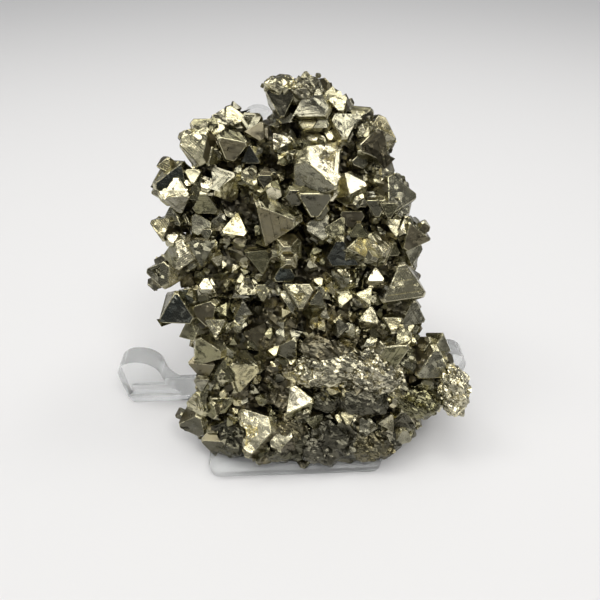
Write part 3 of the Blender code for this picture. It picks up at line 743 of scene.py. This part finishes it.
def crystal(place, edge, turning, tone, habit, chance, fine=True):
    """One crystal. Its front face has its middle at the place given."""
    rough = habit == "rough"
    bm = new_shell()
    cut_form(bm, edge, UNEVEN if fine else SMALL_UNEVEN, BLUNT if fine else SMALL_BLUNT, chance)
    if not rough:
        bmesh.ops.bevel(
            bm, geom=bm.edges[:], offset=edge * chance.uniform(*WORN_EDGE), offset_type="OFFSET",
            affect="EDGES", segments=2 if fine else 1, profile=0.5, material=-1, clamp_overlap=True,
        )
        bm.normal_update()
    druse, least_pits = (ROUGH_DRUSE, 1.0) if rough else (0.0, 0.0)
    front = max(bm.faces, key=lambda face: face.normal.dot(AHEAD) * 100.0 + face.calc_area() / edge ** 2)
    paint_faces(bm, bm.faces, "pale", chance, EDGE_SPREAD, druse, max(least_pits, EDGE_PITS))
    least_side = edge ** 2 * LEAST_SIDE
    sides = in_order(face for face in bm.faces if face != front and face.calc_area() > least_side)
    for face in sides:
        pitted = max(least_pits, chance.uniform(*SIDE_PITS))
        paint_faces(bm, [face], chance.choice(SIDE_TONES), chance, SIDE_SPREAD, druse, pitted)
    paint_faces(bm, [front], tone, chance, FRONT_SPREAD, druse, max(least_pits, FRONT_PITS))
    if rough:
        fewest, most = ROUGH_CUTS
        roughen(bm, max(fewest, min(most, round(edge))), edge, Vector(place))
    elif fine:
        dress_front(bm, front, habit, edge, chance)
        for face in sides:
            steps = chance.choice((0, 0, 1, 2))
            terrace(bm, face, chance, steps, edge * SIDE_TREAD, -edge * SIDE_SINK)
    sink = Matrix.Translation((0, 0, -edge * FACE_TO_CENTRE))
    matrix = Matrix.Translation(place) @ turning @ sink @ octahedron_on_face()
    return placed(bm, matrix)


def companions(row, chance):
    """Smaller crystals grown parallel to a large one, round its edges."""
    u, v, w, edge, turn, tip, clock, tone, _ = row
    turning = aimed(turn, tip, clock)
    made = []
    for _ in range(chance.choice(COMPANION_COUNTS)):
        angle = chance.uniform(0, 2 * math.pi)
        reach = edge * chance.uniform(*COMPANION_REACH)
        sunk = edge * chance.uniform(*COMPANION_SUNK)
        shift = turning @ Vector((reach * math.cos(angle), reach * math.sin(angle), -sunk))
        size = edge * chance.uniform(*COMPANION_EDGE)
        place = Vector((u, v, w)) + shift
        own = tone if chance.random() < SAME_TONE else chance.choice(SMALL_TONES)
        habit = chance.choice(COMPANION_HABITS)
        made.append(crystal(place, size, turning, own, habit, chance, False))
    return made


def dress_front(bm, front, habit, edge, chance):
    """Growth steps, bars or a sunk floor on the front face of a crystal."""
    if habit == "terraced":
        terrace(bm, front, chance, TERRACE_STEPS, edge * TERRACE_TREAD, edge * TERRACE_RISE)
    elif habit == "striated":
        along = Vector([chance.uniform(-1, 1) for _ in range(3)])
        striate(bm, front, chance, along, edge * BAR_WIDTH, edge * BAR_RISE)
    elif habit == "hollow":
        pit(bm, front, chance, edge * PIT_RIM, edge * PIT_DEPTH, PIT_CUTS, edge * PIT_DEPTH)
    else:
        terrace(bm, front, chance, chance.choice((0, 0, 1)), edge * PLAIN_TREAD, -edge * PLAIN_SINK)


def lump(row, detail, grain, tone, chance, druse):
    """A rough rounded lump of massive pyrite."""
    u, v, w, half_width, half_height, half_depth = row[:6]
    bm = new_shell()
    bmesh.ops.create_icosphere(bm, subdivisions=detail, radius=1.0)
    grow = Matrix.Translation((u, v, w)) @ Matrix.Diagonal((half_width, half_height, half_depth, 1.0))
    size = (half_width + half_height + half_depth) / 3.0
    for vert in bm.verts:
        home = grow @ vert.co
        where = home + noise.noise_vector(home * WARP_FREQUENCY) * WARP_HEIGHT
        nearest = noise.voronoi(where * FACET_FREQUENCY)[0]
        facet = 0.45 - nearest[0] * 1.2
        drawn = Vector((home.dot(HACKLE_ALONG) * HACKLE_STRETCH, home.dot(HACKLE_ACROSS), home.z))
        hackle = noise.ridged_multi_fractal(drawn * HACKLE_FREQUENCY, 0.8, 2.1, 4, 1.0, 2.0) - 1.0
        swell = noise.fractal(home * SWELL_FREQUENCY, 1.0, 2.0, 3)
        rise = facet * grain * FACET_HEIGHT + hackle * grain * HACKLE_HEIGHT + swell * SWELL_HEIGHT
        vert.co *= 1.0 + rise / size
    bmesh.ops.transform(bm, matrix=grow, verts=bm.verts)
    paint_faces(bm, bm.faces, tone, chance, druse=druse, pitted=DARK_PITS if tone == "dark" else 1.0)
    return placed(bm, Matrix.Identity(4))


def depth_inside(point, row):
    """Below 1 inside a lump, above 1 outside it."""
    u, v, w, half_width, half_height, half_depth = row[:6]
    return math.sqrt(
        ((point.x - u) / half_width) ** 2
        + ((point.y - v) / half_height) ** 2
        + ((point.z - w) / half_depth) ** 2
    )


def skin_points(chance, lumps, tries):
    """Places on the outside of the joined lumps, with the direction that each one looks."""
    found = []
    golden = math.pi * (3.0 - math.sqrt(5.0))
    for row in lumps:
        u, v, w, half_width, half_height, half_depth = row[:6]
        for step in range(tries):
            height = 1.0 - 2.0 * (step + chance.random()) / tries
            ring = math.sqrt(1.0 - height * height)
            angle = golden * step
            look = Vector((ring * math.cos(angle), ring * math.sin(angle), height))
            point = Vector((u + look.x * half_width, v + look.y * half_height, w + look.z * half_depth))
            if any(other != row and depth_inside(point, other) < 1.0 for other in lumps):
                continue
            outward = Vector((look.x / half_width, look.y / half_height, look.z / half_depth))
            found.append((point, outward.normalized()))
    chance.shuffle(found)
    return found


def clear_of_rest(place, reach, to_world):
    """True where a crystal at a place stays in front of the stand's back rest."""
    world = to_world @ place
    if abs(world.x) > REST_HALF_WIDTH + reach:
        return True
    rest_front = REST_FRONT_Y + world.z * math.tan(math.radians(REST_LEAN))
    return world.y + reach < rest_front - REST_GAP


def side_crystals(chance, to_world):
    """Crystals round the sides, the top and the back, kept apart from each other."""
    kept = []
    crystals = []
    looks = random.Random(SEED + 1)
    taken = [Vector(row[0:3]) for row in CRYSTALS]
    for point, outward in skin_points(chance, LUMPS, SIDE_TRIES):
        if outward.z > FRONT_LOOK:
            continue
        behind = outward.z < BACK_LOOK
        spacing = BACK_SPACING if behind else SIDE_SPACING
        if any((point - other).length < spacing for other in kept):
            continue
        if any((point - other).length < SIDE_SPACING * KEPT_APART for other in taken):
            continue
        edge = chance.uniform(*(BACK_EDGE if behind else SIDE_EDGE))
        turning = looking_along(outward, WANDER, chance)
        place = point + outward * edge * LIFT_SHARE
        if not clear_of_rest(place, edge * REACH_SHARE, to_world):
            continue
        kept.append(point)
        tone = looks.choice(SMALL_TONES)
        crystals.append(crystal(place, edge, turning, tone, looks.choice(SIDE_HABITS), looks))
    return crystals


def small_forms(chance, blunt):
    """A handful of small crystal forms with edges of 1 mm, to copy many times."""
    forms = []
    for _ in range(FORM_COUNT):
        bm = new_shell()
        cut_form(bm, 1.0, SMALL_UNEVEN, blunt, chance)
        sink = Matrix.Translation((0, 0, -FACE_TO_CENTRE))
        forms.append(placed(bm, sink @ octahedron_on_face()))
    return forms


def copied(form, matrix, colour, coarse, chance):
    """A copy of a small form, moved into place and given a tone."""
    mesh = form.copy()
    mesh.transform(matrix)
    red, green, blue = colour
    shade = 1.0 + chance.uniform(-SMALL_SPREAD, SMALL_SPREAD)
    count = len(mesh.polygons)
    shaded = (red * shade, green * shade, blue * shade, 1.0)
    mesh.attributes["tone"].data.foreach_set("color", shaded * count)
    mesh.attributes["coarse"].data.foreach_set("value", (coarse,) * count)
    return mesh


def poured(bm, mesh):
    """Add a mesh to a bmesh and drop it."""
    bm.from_mesh(mesh)
    bpy.data.meshes.remove(mesh)


def looking_along(outward, wander, chance):
    """Turn that looks roughly outward and lies any way round."""
    drift = Vector([chance.uniform(-wander, wander) for _ in range(3)])
    aim = (outward + drift).normalized().to_track_quat("Z", "Y").to_matrix().to_4x4()
    return aim @ Matrix.Rotation(chance.uniform(0, 2 * math.pi), 4, "Z")


def small_crystals(chance, forms, to_world):
    """Many little crystals that fill the valleys between the large ones."""
    kept = []
    bm = new_shell()
    for point, outward in skin_points(chance, sunk_lumps(), SMALL_TRIES):
        if any((point - other).length < SMALL_SPACING for other in kept):
            continue
        edge = chance.triangular(*SMALL_EDGE, SMALL_COMMON)
        place = point + outward * (edge * SMALL_LIFT_SHARE + chance.uniform(*SMALL_LIFT))
        if not clear_of_rest(place, edge, to_world):
            continue
        if any(inside_crystal(place, row) for row in CRYSTALS):
            continue
        if (to_world @ place).z < BREAK_HEIGHT + edge * 0.6 or place.y < SMALL_FOOT:
            continue
        kept.append(point)
        turning = looking_along(outward, SMALL_WANDER, chance)
        shape = (edge, edge * chance.uniform(*SMALL_WIDTH), edge * chance.uniform(*SMALL_HEIGHT), 1.0)
        matrix = Matrix.Translation(place) @ turning @ Matrix.Diagonal(shape)
        form = chance.choice(forms)
        colour, coarse = TONES[chance.choice(SMALL_TONES)]
        poured(bm, copied(form, to_world @ matrix, colour, coarse, chance))
    return finished_mesh(bm, "small_crystals")


def druse_grains(chance, forms, grounds, buried, to_world):
    """Tiny crystals that sit on the rough parts of the specimen, where they show."""
    bm = new_shell()
    to_specimen = to_world.inverted()
    for ground in grounds:
        druses = ground.data.attributes["druse"].data
        tones = ground.data.attributes["tone"].data
        for polygon in ground.data.polygons:
            share = druses[polygon.index].value
            wanted = polygon.area / MM ** 2 * share * DRUSE_DENSITY
            count = int(wanted) + (chance.random() < wanted - int(wanted))
            corners = [ground.data.vertices[i].co / MM for i in polygon.vertices]
            for _ in range(count):
                across, along = sorted((chance.random(), chance.random()))
                place = corners[0] * across + corners[1] * (along - across) + corners[2] * (1.0 - along)
                edge = chance.triangular(*GRAIN_EDGE, GRAIN_EDGE[0])
                home = to_specimen @ place
                if place.z < BREAK_HEIGHT + edge * 0.7 or is_buried(home, buried):
                    continue
                if not clear_of_rest(home, edge, to_world):
                    continue
                turning = looking_along(polygon.normal.copy(), GRAIN_WANDER, chance)
                lift = Matrix.Translation(place + polygon.normal * edge * GRAIN_LIFT_SHARE)
                width, height = chance.uniform(*GRAIN_WIDTH), chance.uniform(*GRAIN_HEIGHT)
                matrix = lift @ turning @ Matrix.Diagonal((edge, edge * width, edge * height, 1.0))
                colour = tones[polygon.index].color[:3]
                poured(bm, copied(chance.choice(forms), matrix, colour, GRAIN_COARSE, chance))
    return finished_mesh(bm, "druse")


def is_buried(place, buried):
    """True where a place is inside a lump or deep inside a crystal."""
    if any(depth_inside(place, row) < BURIED_DEPTH for row in LUMPS):
        return True
    return any((place - middle).length < reach for middle, reach in buried)


def finished_mesh(bm, name):
    """An object of triangles in metres, made of a bmesh in millimetres."""
    bmesh.ops.triangulate(bm, faces=bm.faces)
    bmesh.ops.transform(bm, matrix=Matrix.Scale(MM, 4), verts=bm.verts)
    return object_from(bm, name)


def inside_crystal(place, row):
    """True where a place is over the front face of a large crystal."""
    u, v, _, edge = row[:4]
    return math.hypot(place.x - u, place.y - v) < edge * 0.42 and edge > 3.0


# ---- the whole specimen ---------------------------------------------------------------------------
def gathered(shells, name, to_world):
    """Closed shells that grow through each other, as one object that is cut flat at its foot."""
    bm = new_shell()
    for shell in shells:
        poured(bm, shell)
    # Painted shade: each corner gets a depth share that grows below RECESS_TOP and darkens the recesses
    # in the material, partly as tarnish. The back gets a fixed share.
    tarnish_and_shade_depths = bm.verts.layers.float.new("depth")
    for vert in bm.verts:
        depth = (RECESS_TOP - vert.co.z) / (RECESS_TOP - RECESS_BOTTOM)
        vert[tarnish_and_shade_depths] = max(0.0, min(1.0, depth)) if vert.co.z > BACK_TOP else BACK_DARKNESS
    bmesh.ops.transform(bm, matrix=to_world, verts=bm.verts)
    geom = bm.verts[:] + bm.edges[:] + bm.faces[:]
    cut = bmesh.ops.bisect_plane(
        bm, geom=geom, dist=CUT_REACH,
        plane_co=(0, 0, BREAK_HEIGHT), plane_no=(0, 0, -1), clear_outer=True,
    )
    rim = [item for item in cut["geom_cut"] if isinstance(item, bmesh.types.BMEdge)]
    foot = bmesh.ops.holes_fill(bm, edges=rim, sides=0)
    paint_faces(bm, foot["faces"], "dark", random.Random(SEED))
    return finished_mesh(bm, name)


def core_of(mesh):
    """The middle of a crystal, and how far round it the crystal is solid."""
    middle = sum((vert.co for vert in mesh.vertices), Vector()) / len(mesh.vertices)
    return middle, min((vert.co - middle).length for vert in mesh.vertices) * BURIED_SHARE


def sunk_lumps():
    """The lumps that carry the crystals, a little deeper than the crystals stand."""
    return [(*row[:2], row[2] - LUMP_SINK, *row[3:]) for row in LUMPS]


def build_cluster():
    """The massive pyrite, the large crystals on it, and what is buried in them."""
    noise.seed_set(SEED)
    chance = random.Random(SEED)
    looks = random.Random(SEED + 2)
    to_world = specimen_to_world()
    lumps = []
    for row in sunk_lumps():
        # Lumps at the foot get the dark tone: partly dark tarnished rock, partly painted shade near the
        # floor.
        tone, druse = ("dark", 0.15) if row[1] < SMALL_FOOT else ("brown", 0.5)
        lumps.append(lump(row, CARRYING_DETAIL, CARRYING_GRAIN, tone, looks, druse))
    for *row, tone, grain in BARE_LUMPS:
        lumps.append(lump(row, BARE_DETAIL, grain, tone, looks, BARE_DRUSE))
    crystals = []
    for row in CRYSTALS:
        u, v, w, edge, turn, tip, clock, tone, habit = row
        crystals.append(crystal((u, v, w), edge, aimed(turn, tip, clock), tone, habit, looks))
        crystals += companions(row, looks)
    crystals += side_crystals(chance, to_world)
    buried = [core_of(mesh) for mesh in crystals]
    massive = gathered(lumps, "massive_pyrite", to_world)
    grown = gathered(crystals, "pyrite_crystals", to_world)
    return massive, grown, buried


# ---- stage ------------------------------------------------------------------------------------------
def make_camera():
    """The camera looks down at the front of the specimen."""
    data = bpy.data.cameras.new("camera")
    data.sensor_width = SENSOR
    data.lens = FOCAL_PIXELS / PICTURE_SIDE * SENSOR
    data.clip_start = 0.001
    data.clip_end = 20.0
    camera = bpy.data.objects.new("camera", data)
    camera.location = CAMERA_PLACE
    camera.rotation_euler = [math.radians(angle) for angle in CAMERA_TURN]
    bpy.context.scene.collection.objects.link(camera)
    bpy.context.scene.camera = camera


def make_floor():
    """A wide flat floor just under the stand."""
    bm = bmesh.new()
    bmesh.ops.create_grid(bm, x_segments=1, y_segments=1, size=FLOOR_SIDE / 2)
    bmesh.ops.translate(bm, verts=bm.verts, vec=(0, 0, -FLOOR_DROP))
    floor = object_from(bm, "floor")
    floor.data.materials.append(floor_material())


def make_light():
    """A bright ceiling over darker walls, and soft lamps."""
    world = bpy.data.worlds.new("room")
    bpy.context.scene.world = world
    nodes = Nodes(world)
    background = nodes.tree.nodes["Background"]
    direction = nodes.add("ShaderNodeTexCoord", {}, {}, "Generated")
    height = nodes.add("ShaderNodeSeparateXYZ", {}, {0: direction}, "Z")
    stops = [(position, grey(value)) for position, value in ROOM_STOPS]
    nodes.feed(background.inputs["Color"], nodes.ramp(height * 0.5 + 0.5, stops))
    for row in LAMPS:
        make_lamp(*row)


def make_lamp(name, place, size, watts):
    """A soft rectangular lamp that looks at the middle of the specimen."""
    data = bpy.data.lights.new(name, "AREA")
    data.shape = "RECTANGLE"
    data.size, data.size_y = size
    data.energy = watts
    data.color = LAMP_COLOUR
    lamp = bpy.data.objects.new(name, data)
    lamp.location = place
    lamp.rotation_euler = (Vector(place) - LAMP_TARGET).to_track_quat("Z", "Y").to_euler()
    bpy.context.scene.collection.objects.link(lamp)


def main():
    """Set the stage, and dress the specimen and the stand."""
    make_camera()
    make_floor()
    make_light()
    chance = random.Random(SEED + 3)
    to_world = specimen_to_world()
    massive, grown, buried = build_cluster()
    small = small_crystals(chance, small_forms(chance, SMALL_BLUNT), to_world)
    druse = druse_grains(chance, small_forms(chance, SHARP), (massive, grown), buried, to_world)
    pyrite = pyrite_material()
    for piece in (massive, grown, small, druse):
        piece.data.materials.clear()
        piece.data.materials.append(pyrite)
        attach(piece, "root")
        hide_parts("pyrite_cluster")
    bpy.context.scene.view_settings.view_transform = VIEW
    bpy.context.scene.view_settings.look = LOOK
    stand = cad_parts["display_stand"]
    stand.material_slots[0].material = clear_plastic_material()


main()
